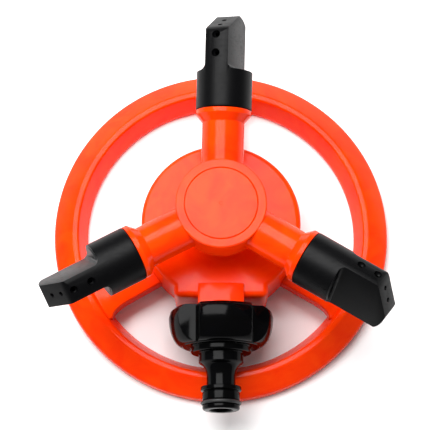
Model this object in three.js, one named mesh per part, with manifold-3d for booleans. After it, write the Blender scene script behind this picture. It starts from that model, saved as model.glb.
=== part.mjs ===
// Rotary garden sprinkler: a ring base with three spokes, a hub housing with a side inlet, and a
// rotor with three arms that carry turnable nozzles. A hose connector screws onto the inlet.
// Millimetres. Origin on the rotor's axis at ground level, +Z up, the inlet faces -Y.
import * as THREE from "three";
import { mergeVertices } from "three/addons/utils/BufferGeometryUtils.js";
import Module from "manifold-3d";

const wasm = await Module();
wasm.setup();

// Clearances and walls shared by all pieces
const fitGap = 0.3;
const mouldedWall = 2.2;

// Ring base
const ringRadius = 74;
const ringWidth = 14.8;
const ringShoulderHeight = 6.9;
const ringShoulderRound = 2;
const ringCrestHeight = 12.9;
const ringCrestInset = 9;
const ringInnerEdgeInset = 11.4;
const ringInnerEdgeDrop = 1;
const ringInnerFootHeight = 2.7;
const spokeAngles = [90, 210, 330];
const spokeWidth = 12;
const spokeFlare = 3.2;
const spokeFlareLength = 9;
const spokeTop = 11.3;
const spokeBottom = 3;
const seatThickness = 2.6;
const footRadius = 9;
const screwPostRadius = 4;

// Hub housing
const hubRadius = 34.7;
const screwCircleRadius = hubRadius - 10.7;
const hubNoseHalfWidth = 20.4;
const hubNoseFront = hubRadius - 1.9;
const hubNoseCornerRadius = 2.5;
const hubRimRound = 2.2;
const deckTop = 33.2;
const deckThickness = 2.6;
const socketBossRise = 3.5;
const socketBossRadius = 10;

// Inlet, with its G3/4 male thread
const inletHeight = 25.7;
const inletBoreRadius = 4.8;
const inletNeckRadius = 10;
const saddleBack = hubNoseFront - 5.4;
const saddleRise = 3.2;
const saddleCrown = 1.2;
const inletFlangeRadius = 11.4;
const inletFlangeLength = 1.8;
const threadPitch = 1.814;
const threadMajorRadius = 13.2;
const threadRootRadius = 12.06;
const threadLength = 7.6;
const threadCrestWidth = 0.3;
const threadBaseWidth = 1.0;

// Spindle and its small parts
const spindleSocketDepth = 10;
const spindleTailRadius = 6.6;
const spindleShaftRadius = 5.4;
const spindleBoreRadius = 3.8;
const spindleFlangeRadius = 9.2;
const spindleFlangeThickness = 2.2;
const spindleSealThickness = 1.8;
const spindleSealDepth = 1.4;
const washerThickness = 1;
const washerWidth = 3.2;
const nutThickness = 4;
const nutAcrossFlats = 15;

// Rotor
const rotorRestTurn = -1.5;
const armCount = 3;
const drumTop = 68.6;
const drumRadius = 19.4;
const drumHeight = 17.8;
const drumTopRound = 0.6;
const capRadius = 15.6;
const capThickness = 2.2;
const capSpigotLength = 3;
const capGrooveLip = 0.5;
const rotorSkirtRadius = 13;
const rotorSkirtBottom = deckTop + 2.8;
const armRadius = 9;
const armAxisDrop = 10.9;
const armIncline = 5;
const armPassageRadius = 4.4;
const armBoreRadius = 6.6;
const armMouthDistance = 42.2;
const armFlangeRadius = 11.9;
const armFlangeLength = 2;
const armConeLength = 3.2;
const sealCordRadius = 0.9;

// Nozzle, measured along its arm's axis from the arm's mouth
const nozzleRadius = 12;
const nozzleBodyLength = 17.2;
const nozzleShoulderRound = 1.8;
const bladeThickness = 10.3;
const bladeTopLength = 33.8;
const bladeTipLength = 42.2;
const bladeTipDrop = 2.5;
const bladeBottomLength = 37.5;
const nozzleWall = 2.1;
const nozzleSpigotLength = 12;
const nozzleGrooveEnd = -2.5;
const nozzleBoreRadius = 3;
const nozzleRestTurns = [-20, -25, -36];
const jetMouthRadius = 1.8;
const jetBoreRadius = 0.85;
const jetMouthDepth = 1.2;
const topJetPositions = [23.4, 31.5];
const endJetShares = [0.33, 0.68];

// Hose connector, measured along the inlet's axis from the rotor's axis
const connectorStart = hubNoseFront + 4.6;
const connectorNutEnd = connectorStart + 16.8;
const connectorNutRadius = 17;
const lobeCount = 4;
const lobeRadiusBack = 22.7;
const lobeRadiusFront = 16.6;
const lobeHalfWidth = 12.6;
const lobeTurn = -7;
const connectorStepEnd = connectorNutEnd + 2.6;
const connectorStepRadius = 13.2;
const collarEnd = connectorNutEnd + 7;
const collarRadius = 9.7;
const neckStart = connectorNutEnd + 12.6;
const neckRadius = 6.2;
const shoulderStart = connectorNutEnd + 17.2;
const shoulderEnd = shoulderStart + 1.8;
const shoulderRadius = 8.8;
const nippleRadius = 8.1;
const nippleGrooveStart = shoulderEnd + 4.2;
const nippleGrooveWidth = 2.2;
const nippleGrooveRadius = 6.9;
const nippleEnd = nippleGrooveStart + 4.2;
const nippleBoreRadius = 4.8;
const inletWasherThickness = 2.4;

const deg = THREE.MathUtils.degToRad;
const cut = 1;

// A three.js geometry as a solid that can be joined and cut.
function solidOf(geometry) {
  const bare = geometry.index ? geometry.toNonIndexed() : geometry.clone();
  bare.deleteAttribute("normal");
  bare.deleteAttribute("uv");
  const merged = mergeVertices(bare, 1e-4);
  const corners = merged.attributes.position.array;
  const triangles = new Uint32Array(merged.index.array);
  return new wasm.Manifold(new wasm.Mesh({ numProp: 3, vertProperties: corners, triVerts: triangles }));
}

function geometryOf(solid) {
  const { vertProperties, triVerts } = solid.getMesh();
  const geometry = new THREE.BufferGeometry();
  geometry.setAttribute("position", new THREE.BufferAttribute(vertProperties, 3));
  geometry.setIndex(new THREE.BufferAttribute(triVerts, 1));
  geometry.computeVertexNormals();
  return geometry;
}

// A profile of [radius, height] points turned about +Z. It starts and ends on the axis or closes.
function turned(profile, segments = 36) {
  const points = profile.map(([radius, height]) => new THREE.Vector2(radius, height));
  if (THREE.ShapeUtils.area(points) < 0) {
    points.reverse();
  }
  return new THREE.LatheGeometry(points, segments).rotateX(Math.PI / 2);
}

function disc(radius, bottom, top, segments = 36) {
  return turned([[0, bottom], [radius, bottom], [radius, top], [0, top]], segments);
}

// A ring of round cord, such as an O-ring.
function cordRing(radius, cordRadius, height, segments = 24) {
  const sides = 6;
  const profile = [];
  for (let side = 0; side <= sides; side++) {
    const angle = ((side % sides) * 2 * Math.PI) / sides;
    profile.push([radius + cordRadius * Math.cos(angle), height + cordRadius * Math.sin(angle)]);
  }
  return turned(profile, segments);
}

// An outline in X and Y, raised along +Z.
function prism(shape, bottom, top, curveSegments = 6) {
  const depth = top - bottom;
  return new THREE.ExtrudeGeometry(shape, { depth, bevelEnabled: false, curveSegments })
    .translate(0, 0, bottom);
}

function block(xLow, xHigh, yLow, yHigh, zLow, zHigh) {
  return new THREE.BoxGeometry(xHigh - xLow, yHigh - yLow, zHigh - zLow)
    .translate((xLow + xHigh) / 2, (yLow + yHigh) / 2, (zLow + zHigh) / 2);
}

// Turns a piece made along +Z so that its axis lies along the inlet, towards -Y.
function alongInlet(geometry) {
  return geometry.rotateX(Math.PI / 2).translate(0, 0, inletHeight);
}

// Turns a piece made along +Z so that its axis lies along +X, as an arm does.
function alongArm(geometry) {
  return geometry.rotateY(Math.PI / 2);
}

// A screw thread's ridge: a straight bar with the thread's section, wound into a helix about +Z.
function threadRidge(baseRadius, crestRadius, start, length) {
  const section = new THREE.Shape();
  section.moveTo(-threadBaseWidth / 2, baseRadius);
  section.lineTo(threadBaseWidth / 2, baseRadius);
  section.lineTo(threadCrestWidth / 2, crestRadius);
  section.lineTo(-threadCrestWidth / 2, crestRadius);
  section.closePath();
  const stepsPerTurn = 16;
  const turns = (length - threadBaseWidth) / threadPitch;
  const steps = Math.round(turns * stepsPerTurn);
  const ridge = new THREE.ExtrudeGeometry(section, { depth: turns, steps, bevelEnabled: false });
  const corner = ridge.attributes.position;
  for (let index = 0; index < corner.count; index++) {
    const angle = corner.getZ(index) * 2 * Math.PI;
    const radius = corner.getY(index);
    const height = start + threadBaseWidth / 2 + corner.getX(index) + threadPitch * corner.getZ(index);
    corner.setXYZ(index, radius * Math.cos(angle), radius * Math.sin(angle), height);
  }
  return ridge;
}

const finishes = {
  orange: { color: 0xfb4412, roughness: 0.22, metalness: 0 },
  satinBlack: { color: 0x17181a, roughness: 0.5, metalness: 0 },
  glossBlack: { color: 0x0b0c0d, roughness: 0.16, metalness: 0 },
  rubber: { color: 0x1a1a1a, roughness: 0.8, metalness: 0 },
  acetal: { color: 0xe4e2da, roughness: 0.4, metalness: 0 },
  steel: { color: 0xb9bbbe, roughness: 0.3, metalness: 1 },
};

function piece(name, finish, geometry) {
  const mesh = new THREE.Mesh(geometry, new THREE.MeshStandardMaterial(finishes[finish]));
  mesh.name = name;
  return mesh;
}

const seatBottom = spokeTop - seatThickness;
const hubBottom = spokeTop + fitGap;
const socketTop = deckTop + socketBossRise;
const screwHeadRadius = 3.6;
const screwHeadHeight = 2.2;
const screwShankRadius = 1.9;
const screwLength = 14;
const screwSlotWidth = 1.2;
const screwSlotDepth = 1.2;

// The hub's outline from above: a disc with a straight-sided nose over the inlet, drawn inset by a wall.
function hubOutline(inset) {
  const radius = hubRadius - inset;
  const half = hubNoseHalfWidth - inset;
  const front = hubNoseFront - inset;
  const corner = Math.max(hubNoseCornerRadius - inset, 0.4);
  const joint = Math.sqrt(radius * radius - half * half);
  const jointAngle = Math.atan2(-joint, half);
  const points = [
    ...arcPoints(-half + corner, -front + corner, corner, Math.PI, 1.5 * Math.PI, 3),
    ...arcPoints(half - corner, -front + corner, corner, 1.5 * Math.PI, 2 * Math.PI, 3),
    ...arcPoints(0, 0, radius, jointAngle, Math.PI - jointAngle, 36),
  ];
  return new THREE.Shape(points);
}

function arcPoints(x, y, radius, start, end, steps) {
  const points = [];
  for (let step = 0; step <= steps; step++) {
    const angle = start + ((end - start) * step) / steps;
    points.push(new THREE.Vector2(x + radius * Math.cos(angle), y + radius * Math.sin(angle)));
  }
  return points;
}

// Ring, spokes, seat plate and centre foot, moulded in one and open underneath.
function baseRing() {
  const foot = ringRadius - ringWidth;
  const crest = ringRadius - ringCrestInset;
  const innerEdge = ringRadius - ringInnerEdgeInset;
  const shoulder = ringRadius - ringShoulderRound;
  const innerEdgeHeight = ringCrestHeight - ringInnerEdgeDrop;
  const outside = [
    [foot, 0],
    [ringRadius, 0],
    [ringRadius, ringShoulderHeight - ringShoulderRound],
    [ringRadius - 0.29 * ringShoulderRound, ringShoulderHeight - 0.45 * ringShoulderRound],
    [shoulder, ringShoulderHeight],
    [crest + 1, ringCrestHeight - 0.4],
    [crest, ringCrestHeight],
    [crest - 1, ringCrestHeight],
    [innerEdge, innerEdgeHeight],
    [foot, ringInnerFootHeight],
    [foot, 0],
  ];
  const channel = [
    [foot + mouldedWall, -cut],
    [ringRadius - mouldedWall, -cut],
    [ringRadius - mouldedWall, ringShoulderHeight - ringShoulderRound],
    [crest, ringCrestHeight - mouldedWall],
    [innerEdge + mouldedWall, innerEdgeHeight - mouldedWall],
    [foot + mouldedWall, ringInnerFootHeight],
    [foot + mouldedWall, -cut],
  ];
  let base = solidOf(turned(outside, 60));
  const ringChannel = solidOf(turned(channel, 60));
  let spokeChannels = null;
  const spokeEnd = (crest + foot) / 2;
  for (const angle of spokeAngles) {
    const spoke = solidOf(prism(spokeOutline(0, spokeEnd), spokeBottom, spokeTop).rotateZ(deg(angle)));
    const hollow = solidOf(
      prism(spokeOutline(mouldedWall, spokeEnd), spokeBottom - cut, spokeTop - mouldedWall)
        .rotateZ(deg(angle)),
    );
    base = base.add(spoke);
    spokeChannels = spokeChannels ? spokeChannels.add(hollow) : hollow;
  }
  base = base.subtract(spokeChannels).subtract(ringChannel);
  const pan = solidOf(prism(hubOutline(fitGap), spokeBottom, spokeTop));
  const panHollow = solidOf(prism(hubOutline(fitGap + mouldedWall), spokeBottom - cut, seatBottom));
  base = base.add(pan).subtract(panHollow.subtract(solidOf(disc(footRadius, 0, spokeTop))));
  base = base.add(solidOf(disc(footRadius, 0, spokeTop)));
  for (const angle of spokeAngles) {
    const [x, y] = screwPlace(angle);
    const post = solidOf(disc(screwPostRadius + 1, spokeBottom, spokeTop, 24).translate(x, y, 0));
    const headRadius = screwHeadRadius + fitGap;
    const headBore = solidOf(disc(headRadius, spokeBottom - cut, seatBottom, 24).translate(x, y, 0));
    const shankBore = solidOf(disc(screwShankRadius + fitGap, 0, hubBottom, 16).translate(x, y, 0));
    base = base.add(post).subtract(headBore).subtract(shankBore);
  }
  return geometryOf(base);
}

// One spoke from above, lying along +X, wider at its foot on the ring.
function spokeOutline(inset, end) {
  const half = spokeWidth / 2 - inset;
  const flareStart = ringRadius - ringWidth - spokeFlareLength;
  const shape = new THREE.Shape();
  const ringInside = ringRadius - ringWidth;
  shape.moveTo(hubRadius - 4, -half);
  shape.lineTo(flareStart, -half);
  shape.quadraticCurveTo(ringInside - 1, -half, ringInside + 1, -half - spokeFlare);
  shape.lineTo(end, -half - spokeFlare);
  shape.lineTo(end, half + spokeFlare);
  shape.lineTo(ringInside + 1, half + spokeFlare);
  shape.quadraticCurveTo(ringInside - 1, half, flareStart, half);
  shape.lineTo(hubRadius - 4, half);
  shape.closePath();
  return shape;
}

function screwPlace(angle) {
  return [screwCircleRadius * Math.cos(deg(angle)), screwCircleRadius * Math.sin(deg(angle))];
}

// The raised cover over the inlet: upright sides and a slightly crowned top.
function saddleOutline() {
  const top = deckTop + saddleRise - inletHeight;
  const side = top - saddleCrown;
  const shape = new THREE.Shape();
  shape.moveTo(-inletNeckRadius, 0);
  shape.lineTo(inletNeckRadius, 0);
  shape.lineTo(inletNeckRadius, side);
  shape.quadraticCurveTo(0, top + saddleCrown, -inletNeckRadius, side);
  shape.closePath();
  return shape;
}

const inletFace = connectorStart + threadLength;

// Deck, side wall, inlet, standpipe, spindle socket and screw posts, moulded in one.
function hubHousing() {
  const rim = new THREE.ExtrudeGeometry(hubOutline(hubRimRound), {
    depth: 0.01,
    bevelEnabled: true,
    bevelThickness: hubRimRound,
    bevelSize: hubRimRound,
    bevelSegments: 3,
  }).translate(0, 0, deckTop - hubRimRound - 0.01);
  const lowerRim = deckTop - hubRimRound;
  let hub = solidOf(rim).intersect(solidOf(block(-50, 50, -50, 50, lowerRim, deckTop + cut)));
  hub = hub.add(solidOf(prism(hubOutline(0), hubBottom, lowerRim + 0.05)));
  hub = hub.subtract(solidOf(prism(hubOutline(mouldedWall), hubBottom - cut, deckTop - deckThickness)));
  hub = hub.add(solidOf(alongInlet(disc(inletBoreRadius + mouldedWall - 0.2, 0, saddleBack + cut))));
  hub = hub.add(solidOf(alongInlet(disc(inletNeckRadius, saddleBack, connectorStart - fitGap))));
  hub = hub.add(solidOf(alongInlet(prism(saddleOutline(), saddleBack, connectorStart - fitGap))));
  const flangeStart = connectorStart - fitGap - inletFlangeLength;
  hub = hub.add(solidOf(alongInlet(disc(inletFlangeRadius, flangeStart, connectorStart - fitGap))));
  hub = hub.add(solidOf(alongInlet(disc(threadRootRadius, connectorStart - fitGap, inletFace))));
  const ridgeLength = threadLength - threadBaseWidth;
  const ridge = threadRidge(threadRootRadius - 0.2, threadMajorRadius, connectorStart + 0.8, ridgeLength);
  hub = hub.add(solidOf(alongInlet(ridge)));
  hub = hub.add(solidOf(disc(socketBossRadius, inletHeight - socketBossRadius, socketTop)));
  for (const angle of spokeAngles) {
    const [x, y] = screwPlace(angle);
    hub = hub.add(solidOf(disc(screwPostRadius, hubBottom, deckTop - cut, 20).translate(x, y, 0)));
    const pilot = disc(screwShankRadius + fitGap, hubBottom - cut, seatBottom + screwLength + fitGap, 16);
    hub = hub.subtract(solidOf(pilot.translate(x, y, 0)));
  }
  const inletBore = solidOf(alongInlet(disc(inletBoreRadius, -inletBoreRadius / 2, inletFace + cut, 24)));
  const riser = solidOf(disc(inletBoreRadius, inletHeight, socketTop + cut, 24));
  const socketFloor = socketTop - spindleSocketDepth;
  const socket = solidOf(disc(spindleTailRadius + fitGap, socketFloor, socketTop + cut, 24));
  return geometryOf(hub.subtract(inletBore).subtract(riser).subtract(socket));
}

function hubScrew(angle) {
  const [x, y] = screwPlace(angle);
  const headTop = seatBottom - fitGap;
  const tip = headTop + screwLength;
  const profile = [
    [0, headTop - screwHeadHeight],
    [screwHeadRadius - 0.6, headTop - screwHeadHeight],
    [screwHeadRadius, headTop - screwHeadHeight + 0.6],
    [screwHeadRadius, headTop],
    [screwShankRadius, headTop],
    [screwShankRadius, tip - 2],
    [0, tip],
  ];
  let screw = solidOf(turned(profile, 20));
  const low = headTop - screwHeadHeight;
  const reach = screwHeadRadius - 1;
  const half = screwSlotWidth / 2;
  const slot = block(-reach, reach, -half, half, low - cut, low + screwSlotDepth);
  const crossSlot = block(-half, half, -reach, reach, low - cut, low + screwSlotDepth);
  screw = screw.subtract(solidOf(slot)).subtract(solidOf(crossSlot));
  return geometryOf(screw.translate([x, y, 0]));
}

// Heights up the spindle
const flangeBottom = socketTop + fitGap;
const flangeTop = flangeBottom + spindleFlangeThickness;
const bearingBottom = flangeTop + washerThickness + 2 * fitGap;
const bearingTop = drumTop - drumHeight + mouldedWall;
const nutBottom = bearingTop + washerThickness + 2 * fitGap;
const spindleTop = nutBottom + nutThickness + 1;
const armHeight = drumTop - armAxisDrop;
const drumBottom = drumTop - drumHeight;
const chamberRadius = capRadius - 2;
const chamberFloor = bearingTop;

// The hollow post that the rotor turns on. Water leaves through its open top.
function spindle() {
  const tailBottom = socketTop - spindleSocketDepth + fitGap;
  const sealGrooveTop = tailBottom + 1 + spindleSealThickness + fitGap;
  const grooveRadius = spindleTailRadius - spindleSealDepth;
  const profile = [
    [spindleBoreRadius, tailBottom],
    [spindleTailRadius, tailBottom],
    [spindleTailRadius, tailBottom + 1],
    [grooveRadius, tailBottom + 1],
    [grooveRadius, sealGrooveTop],
    [spindleTailRadius, sealGrooveTop],
    [spindleTailRadius, flangeBottom],
    [spindleFlangeRadius, flangeBottom],
    [spindleFlangeRadius, flangeTop],
    [spindleShaftRadius, flangeTop],
    [spindleShaftRadius, spindleTop - 0.6],
    [spindleShaftRadius - 0.6, spindleTop],
    [spindleBoreRadius, spindleTop],
    [spindleBoreRadius, tailBottom],
  ];
  return turned(profile, 28);
}

function spindleSeal() {
  const tailBottom = socketTop - spindleSocketDepth + fitGap;
  const inner = spindleTailRadius - spindleSealDepth + fitGap / 2;
  const low = tailBottom + 1 + fitGap / 2;
  const outer = spindleTailRadius + fitGap / 2;
  const high = low + spindleSealThickness;
  return turned([[inner, low], [outer, low], [outer, high], [inner, high], [inner, low]], 28);
}

function washer(low) {
  const inner = spindleShaftRadius + fitGap;
  const outer = inner + washerWidth;
  const high = low + washerThickness;
  return turned([[inner, low], [outer, low], [outer, high], [inner, high], [inner, low]], 28);
}

function retainingNut() {
  const hexagon = new THREE.Shape();
  const cornerRadius = nutAcrossFlats / Math.sqrt(3);
  for (let corner = 0; corner < 6; corner++) {
    const angle = deg(60 * corner);
    const x = cornerRadius * Math.cos(angle);
    const y = cornerRadius * Math.sin(angle);
    if (corner === 0) {
      hexagon.moveTo(x, y);
    } else {
      hexagon.lineTo(x, y);
    }
  }
  hexagon.closePath();
  const nut = solidOf(prism(hexagon, nutBottom, nutBottom + nutThickness));
  const bore = disc(spindleShaftRadius + fitGap, nutBottom - cut, nutBottom + nutThickness + cut);
  return geometryOf(nut.subtract(solidOf(bore)));
}

// Tips something lying along +X up by the arms' incline, turns it to its arm and raises it.
function onRotor(geometry, angle) {
  return geometry.rotateY(-deg(armIncline)).rotateZ(angle).translate(0, 0, armHeight);
}

// Drum, bearing, skirt and three arms, moulded in one. Its top is open for the cap.
function rotorBody() {
  const drum = [
    [0, rotorSkirtBottom],
    [rotorSkirtRadius, rotorSkirtBottom],
    [rotorSkirtRadius, drumBottom - 2],
    [rotorSkirtRadius + 2, drumBottom],
    [drumRadius - 0.8, drumBottom],
    [drumRadius, drumBottom + 0.8],
    [drumRadius, drumTop - drumTopRound],
    [drumRadius - drumTopRound, drumTop],
    [0, drumTop],
  ];
  let rotor = solidOf(turned(drum, 44));
  const arm = [
    [0, 0],
    [armRadius, 0],
    [armRadius, armMouthDistance - armFlangeLength - armConeLength],
    [armFlangeRadius, armMouthDistance - armFlangeLength],
    [armFlangeRadius, armMouthDistance],
    [0, armMouthDistance],
  ];
  const armAngles = [];
  for (let index = 0; index < armCount; index++) {
    armAngles.push(deg(spokeAngles[0] + (360 / armCount) * index));
  }
  for (const angle of armAngles) {
    rotor = rotor.add(solidOf(onRotor(alongArm(turned(arm, 30)), angle)));
  }
  for (const angle of armAngles) {
    const passage = alongArm(disc(armPassageRadius, chamberRadius - 1, armMouthDistance, 20));
    const socketStart = armMouthDistance - nozzleSpigotLength - cut;
    const socket = alongArm(disc(armBoreRadius, socketStart, armMouthDistance + cut, 24));
    rotor = rotor.subtract(solidOf(onRotor(passage, angle))).subtract(solidOf(onRotor(socket, angle)));
  }
  const ledge = drumTop - capThickness;
  rotor = rotor.subtract(solidOf(disc(chamberRadius, chamberFloor, drumTop, 32)));
  rotor = rotor.subtract(solidOf(disc(capRadius, ledge, drumTop + cut, 44)));
  const skirtInner = rotorSkirtRadius - mouldedWall;
  rotor = rotor.subtract(solidOf(disc(skirtInner, rotorSkirtBottom - cut, bearingBottom, 32)));
  const bearing = solidOf(disc(spindleShaftRadius + fitGap, bearingBottom - cut, chamberFloor + cut, 24));
  return geometryOf(rotor.subtract(bearing));
}

const capUnderside = drumTop - capThickness + fitGap;
const spigotRadius = chamberRadius - fitGap;

function rotorCap() {
  const radius = capRadius - fitGap;
  const bottom = capUnderside - capSpigotLength;
  const grooveLow = bottom + capGrooveLip;
  const grooveHigh = grooveLow + 2 * sealCordRadius + fitGap;
  const groove = spigotRadius - 2 * sealCordRadius - fitGap;
  const inner = groove - mouldedWall;
  const profile = [
    [0, capUnderside],
    [inner, capUnderside],
    [inner, bottom],
    [spigotRadius, bottom],
    [spigotRadius, grooveLow],
    [groove, grooveLow],
    [groove, grooveHigh],
    [spigotRadius, grooveHigh],
    [spigotRadius, capUnderside],
    [radius, capUnderside],
    [radius, drumTop - 0.3],
    [radius - 0.3, drumTop],
    [0, drumTop],
  ];
  return turned(profile, 44);
}

function capSeal() {
  const height = capUnderside - capSpigotLength + capGrooveLip + sealCordRadius + fitGap / 2;
  return cordRing(chamberRadius - sealCordRadius - fitGap, sealCordRadius, height);
}

// The nozzle's outline from the side: u runs outwards along +X, the jets' edge is up (+Y here).
function bladeOutline(inset) {
  const top = nozzleRadius - inset;
  const start = nozzleBodyLength - 2 * nozzleShoulderRound;
  const shape = new THREE.Shape();
  shape.moveTo(start, -top);
  shape.lineTo(bladeBottomLength - inset, -top);
  shape.quadraticCurveTo(
    bladeTipLength - 0.4 - inset, -nozzleRadius * 0.8, bladeTipLength - inset, -bladeTipDrop - inset * 0.3,
  );
  shape.lineTo(bladeTopLength - inset * 0.6, top);
  shape.lineTo(start, top);
  shape.closePath();
  return shape;
}

const upright = (geometry) => geometry.rotateX(Math.PI / 2);

function nozzle() {
  const length = bladeTipLength + cut;
  const half = bladeThickness / 2;
  const rod = solidOf(alongArm(disc(nozzleRadius, fitGap, length, 32)));
  const rounds = [];
  const roundSteps = 3;
  for (let step = 0; step <= roundSteps; step++) {
    const angle = (Math.PI / 2) * (step / roundSteps);
    const u = nozzleBodyLength - nozzleShoulderRound * (1 - Math.sin(angle));
    rounds.push([nozzleRadius - nozzleShoulderRound * (1 - Math.cos(angle)), u]);
  }
  const bodyProfile = [[0, fitGap], [nozzleRadius, fitGap], ...rounds, [0, nozzleBodyLength]];
  const body = solidOf(alongArm(turned(bodyProfile, 32)));
  const plate = solidOf(upright(prism(bladeOutline(0), -half, half)));
  let solid = body.add(rod.intersect(plate));

  const spigotRadiusOut = armBoreRadius - fitGap;
  const grooveRadius = spigotRadiusOut - 2 * sealCordRadius - fitGap;
  const grooveStart = nozzleGrooveEnd - 2 * sealCordRadius - fitGap;
  const spigot = [
    [0, -nozzleSpigotLength],
    [spigotRadiusOut - 0.8, -nozzleSpigotLength],
    [spigotRadiusOut, -nozzleSpigotLength + 1.2],
    [spigotRadiusOut, grooveStart],
    [grooveRadius, grooveStart],
    [grooveRadius, nozzleGrooveEnd],
    [spigotRadiusOut, nozzleGrooveEnd],
    [spigotRadiusOut, fitGap + 1],
    [0, fitGap + 1],
  ];
  solid = solid.add(solidOf(alongArm(turned(spigot, 24))));

  const bore = solidOf(alongArm(disc(nozzleBoreRadius, -nozzleSpigotLength - cut, nozzleBodyLength, 16)));
  const chamberEnd = nozzleBodyLength - nozzleWall;
  const chamberRound = disc(nozzleRadius - nozzleWall - 0.6, nozzleWall + 1, chamberEnd, 20);
  const chamber = solidOf(alongArm(chamberRound));
  const inner = solidOf(alongArm(disc(nozzleRadius - nozzleWall, nozzleWall, length, 24)));
  const slotHalf = half - nozzleWall;
  const slot = solidOf(upright(prism(bladeOutline(nozzleWall), -slotHalf, slotHalf))).intersect(inner);
  solid = solid.subtract(bore).subtract(chamber).subtract(slot);

  for (const place of topJetPositions) {
    const mouth = disc(jetMouthRadius, nozzleRadius - jetMouthDepth, nozzleRadius + cut, 12);
    const jet = disc(jetBoreRadius, nozzleRadius - nozzleWall - 1, nozzleRadius + cut, 8);
    solid = solid.subtract(solidOf(mouth.translate(place, 0, 0)));
    solid = solid.subtract(solidOf(jet.translate(place, 0, 0)));
  }
  const faceRun = bladeTipLength - bladeTopLength;
  const faceFall = nozzleRadius + bladeTipDrop;
  const faceAngle = Math.atan2(faceRun, faceFall);
  for (const share of endJetShares) {
    const jet = disc(jetBoreRadius, -nozzleWall - 1.5, cut, 8).rotateY(Math.PI / 2 - faceAngle);
    const u = bladeTopLength + share * faceRun;
    const w = nozzleRadius - share * faceFall;
    solid = solid.subtract(solidOf(jet.translate(u, 0, w)));
  }
  return geometryOf(solid);
}

function nozzleSeal() {
  const place = nozzleGrooveEnd - sealCordRadius - fitGap / 2;
  return alongArm(cordRing(armBoreRadius - sealCordRadius - fitGap, sealCordRadius, place));
}

// One grip lobe of the connector's nut, seen along its axis, pointing along +X.
function lobeOutline() {
  const tip = lobeRadiusBack + cut;
  const shape = new THREE.Shape();
  shape.moveTo(0, -lobeHalfWidth);
  shape.lineTo(tip, -lobeHalfWidth + 2);
  shape.lineTo(tip, lobeHalfWidth - 2);
  shape.lineTo(0, lobeHalfWidth);
  shape.closePath();
  return shape;
}

// The lobes' rounded outer line, from their widest point down to the front of the nut.
function lobeBulge() {
  const start = connectorStart + 4;
  const length = connectorNutEnd - 0.6 - start;
  const steps = 4;
  const points = [];
  for (let step = 0; step <= steps; step++) {
    const angle = (Math.PI / 2) * (step / steps);
    const radius = lobeRadiusFront + (lobeRadiusBack - lobeRadiusFront) * Math.cos(angle);
    points.push([radius, start + length * Math.sin(angle)]);
  }
  return points;
}

// Nut and click-fit nipple, moulded in one and turned by hand as the nut screws on.
function hoseConnector() {
  const grooveEnd = nippleGrooveStart + nippleGrooveWidth;
  const profile = [
    [0, connectorStart],
    [connectorNutRadius - 0.8, connectorStart],
    [connectorNutRadius, connectorStart + 0.8],
    [connectorNutRadius, connectorNutEnd - 0.8],
    [connectorNutRadius - 0.8, connectorNutEnd],
    [connectorStepRadius, connectorNutEnd],
    [connectorStepRadius, connectorStepEnd - 0.8],
    [connectorStepRadius - 0.8, connectorStepEnd],
    [collarRadius, connectorStepEnd],
    [collarRadius, collarEnd - 0.4],
    [collarRadius - 0.4, collarEnd],
    [collarRadius - 2, collarEnd + 1.6],
    [neckRadius + 0.6, (collarEnd + neckStart) / 2 + 0.4],
    [neckRadius, neckStart],
    [neckRadius, shoulderStart],
    [shoulderRadius, shoulderStart],
    [shoulderRadius, shoulderEnd],
    [nippleRadius - 0.6, shoulderEnd + 0.4],
    [nippleRadius, shoulderEnd + 0.9],
    [nippleRadius, nippleGrooveStart],
    [nippleGrooveRadius, nippleGrooveStart],
    [nippleGrooveRadius, grooveEnd],
    [nippleRadius, grooveEnd],
    [nippleRadius, nippleEnd - 1.2],
    [nippleRadius - 0.35, nippleEnd - 0.35],
    [nippleRadius - 1.2, nippleEnd],
    [0, nippleEnd],
  ];
  let connector = solidOf(turned(profile, 36));
  const lobeBody = solidOf(turned([
    [0, connectorStart],
    [lobeRadiusBack - 2.2, connectorStart],
    [lobeRadiusBack - 0.6, connectorStart + 1.6],
    ...lobeBulge(),
    [lobeRadiusFront - 1, connectorNutEnd],
    [0, connectorNutEnd],
  ], 44));
  for (let index = 0; index < lobeCount; index++) {
    const angle = deg(90 + lobeTurn + (360 / lobeCount) * index);
    const bar = solidOf(prism(lobeOutline(), connectorStart, connectorNutEnd).rotateZ(angle));
    connector = connector.add(bar.intersect(lobeBody));
  }
  const boreRadius = threadMajorRadius + fitGap;
  const boreEnd = inletFace + inletWasherThickness + 2 * fitGap;
  connector = connector.subtract(solidOf(disc(boreRadius, connectorStart - cut, boreEnd, 36)));
  connector = connector.subtract(solidOf(disc(nippleBoreRadius, boreEnd - cut, nippleEnd + cut, 24)));
  const crest = threadRootRadius + 0.5;
  const ridgeStart = connectorStart + 0.8 + threadPitch / 2;
  const ridgeLength = threadLength - threadBaseWidth - threadPitch;
  const ridge = threadRidge(boreRadius + 0.2, crest, ridgeStart, ridgeLength);
  connector = connector.add(solidOf(ridge));
  return alongInlet(geometryOf(connector));
}

function inletWasher() {
  const inner = nippleBoreRadius + 0.6;
  const outer = threadRootRadius - 0.2;
  const low = inletFace + fitGap;
  const high = low + inletWasherThickness;
  return alongInlet(turned([[inner, low], [outer, low], [outer, high], [inner, high], [inner, low]], 28));
}

function nippleORing() {
  const cord = (nippleGrooveWidth - fitGap * 2) / 2;
  const centre = nippleGrooveRadius + fitGap + cord;
  return alongInlet(cordRing(centre, cord, nippleGrooveStart + nippleGrooveWidth / 2, 28));
}

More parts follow.
